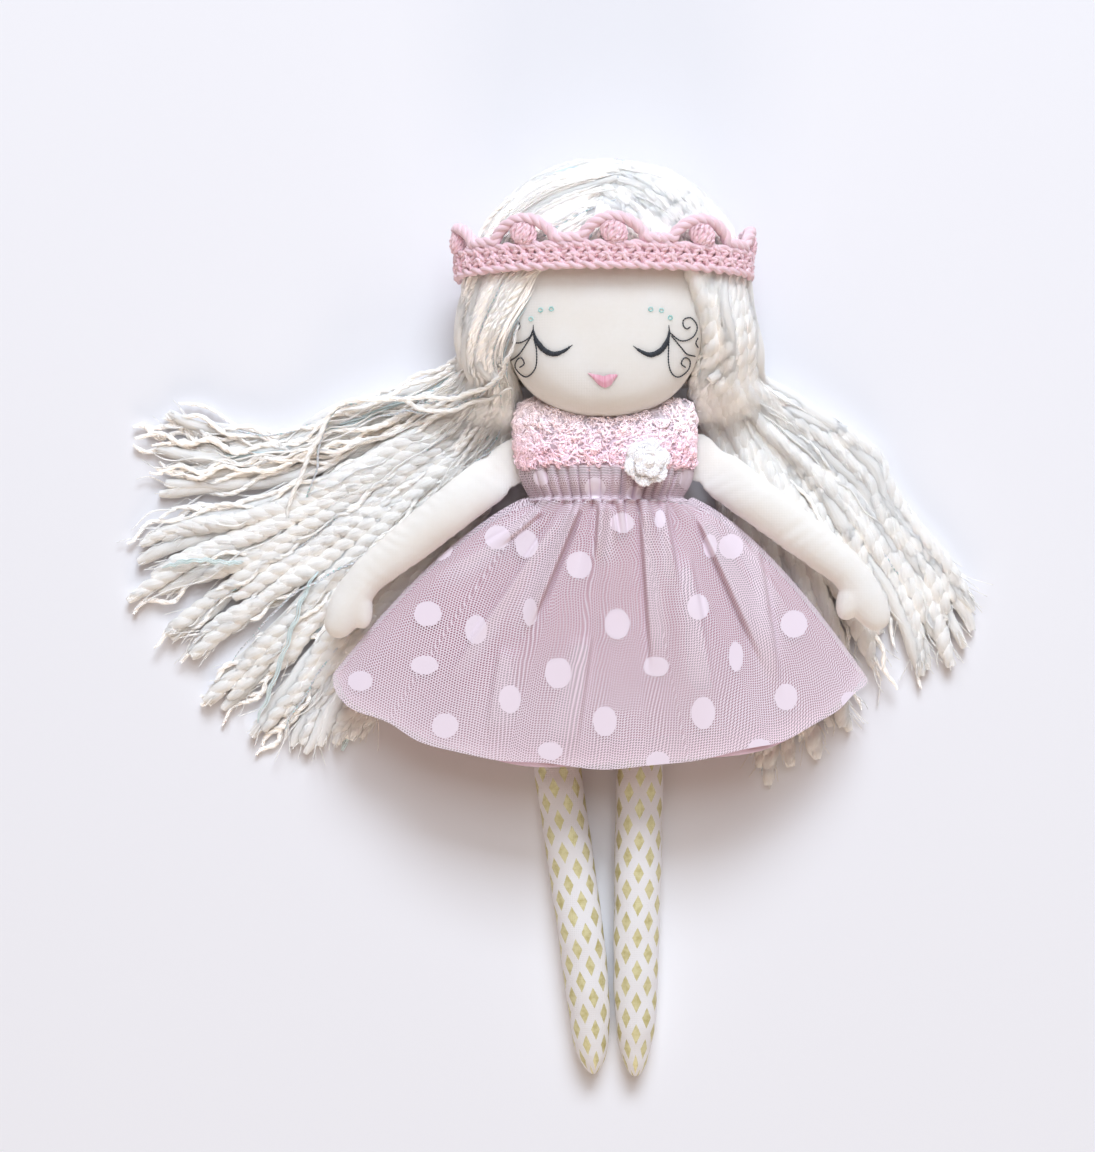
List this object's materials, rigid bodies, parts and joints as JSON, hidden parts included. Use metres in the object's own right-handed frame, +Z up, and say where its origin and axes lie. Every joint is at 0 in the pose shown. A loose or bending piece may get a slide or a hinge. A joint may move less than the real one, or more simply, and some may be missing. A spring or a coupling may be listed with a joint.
{
  "type": "handmade cloth doll",
  "caption": "Stuffed cotton doll lying on its back, with fanned yarn hair, a crocheted crown that pulls off, a boucle bodice and a gathered tulle skirt.",
  "frame": {"origin": "middle of the bodice's flattened back, on the surface that the doll lies on", "axes": "+Z up out of that surface, through the doll's front; +Y along the body to the top of the head; +X to the right as seen from above"},
  "size_m": [0.3805, 0.3976, 0.0676],
  "materials": {
    "cotton": "woven cream cotton, stuffed, with soft creases at the seams",
    "printed_cotton": "white cotton printed with a lattice of gold diamonds",
    "yarn": "thick and thin twisted cream yarns with silver and pale aqua strands",
    "crochet_pink": "crocheted pink cotton yarn",
    "crochet_white": "crocheted white cotton yarn",
    "boucle": "pale pink curly boucle cloth",
    "tulle": "mauve net with woven oval dots, gathered",
    "lining": "thin dusty pink lining cloth"
  },
  "bodies": {
    "body": {"torso": "cotton", "head": "cotton", "left_arm_top": "cotton", "right_arm_top": "cotton", "hair_cap": "yarn", "bodice": "boucle", "skirt_heading": "tulle", "waist_elastic": "tulle", "skirt_tulle": "tulle", "skirt_lining": "lining", "flower": "crochet_white"},
    "left_arm": {"left_arm": "cotton"},
    "right_arm": {"right_arm": "cotton"},
    "hips": {"leg_tops": "printed_cotton"},
    "left_leg": {"left_leg": "printed_cotton"},
    "right_leg": {"right_leg": "printed_cotton"},
    "left_hair": {"hair_left": "yarn"},
    "right_hair": {"hair_right": "yarn"},
    "crown": {"crown_band": "crochet_pink", "crown_edging": "crochet_pink", "crown_bobble_1": "crochet_pink", "crown_bobble_2": "crochet_pink", "crown_bobble_3": "crochet_pink", "crown_bobble_4": "crochet_pink", "crown_bobble_5": "crochet_pink", "crown_bobble_6": "crochet_pink", "crown_bobble_7": "crochet_pink", "crown_bobble_8": "crochet_pink"}
  },
  "joints": [
    {"name": "hip_fold", "type": "hinge", "parent": "body", "child": "hips", "pos_m": [0, -0.0961, 0.012], "axis": [-1, 0, 0], "range_deg": [0, 85], "deforming": ["skirt_tulle", "skirt_lining"]},
    {"name": "left_leg_splay", "type": "hinge", "parent": "hips", "child": "left_leg", "pos_m": [-0.017, -0.0961, 0.012], "axis": [0, 0, -1], "range_deg": [0, 15]},
    {"name": "right_leg_splay", "type": "hinge", "parent": "hips", "child": "right_leg", "pos_m": [0.0145, -0.0961, 0.012], "axis": [0, 0, 1], "range_deg": [0, 15]},
    {"name": "left_arm_lift", "type": "hinge", "parent": "body", "child": "left_arm", "pos_m": [-0.0425, -0.011, 0.023], "axis": [-0.6184, 0.7859, 0], "range_deg": [0, 90]},
    {"name": "right_arm_lift", "type": "hinge", "parent": "body", "child": "right_arm", "pos_m": [0.0425, -0.009, 0.023], "axis": [-0.6046, -0.7965, 0], "range_deg": [0, 90]},
    {"name": "left_hair_swing", "type": "hinge", "parent": "body", "child": "left_hair", "pos_m": [-0.05, 0.012, 0.007], "axis": [0, 0, -1], "range_deg": [0, 18]},
    {"name": "right_hair_swing", "type": "hinge", "parent": "body", "child": "right_hair", "pos_m": [0.05, 0.012, 0.007], "axis": [0, 0, 1], "range_deg": [0, 18]},
    {"name": "crown_slide", "type": "slide", "parent": "body", "child": "crown", "axis": [0, 1, 0], "range_m": [0, 0.09]}
  ]
}
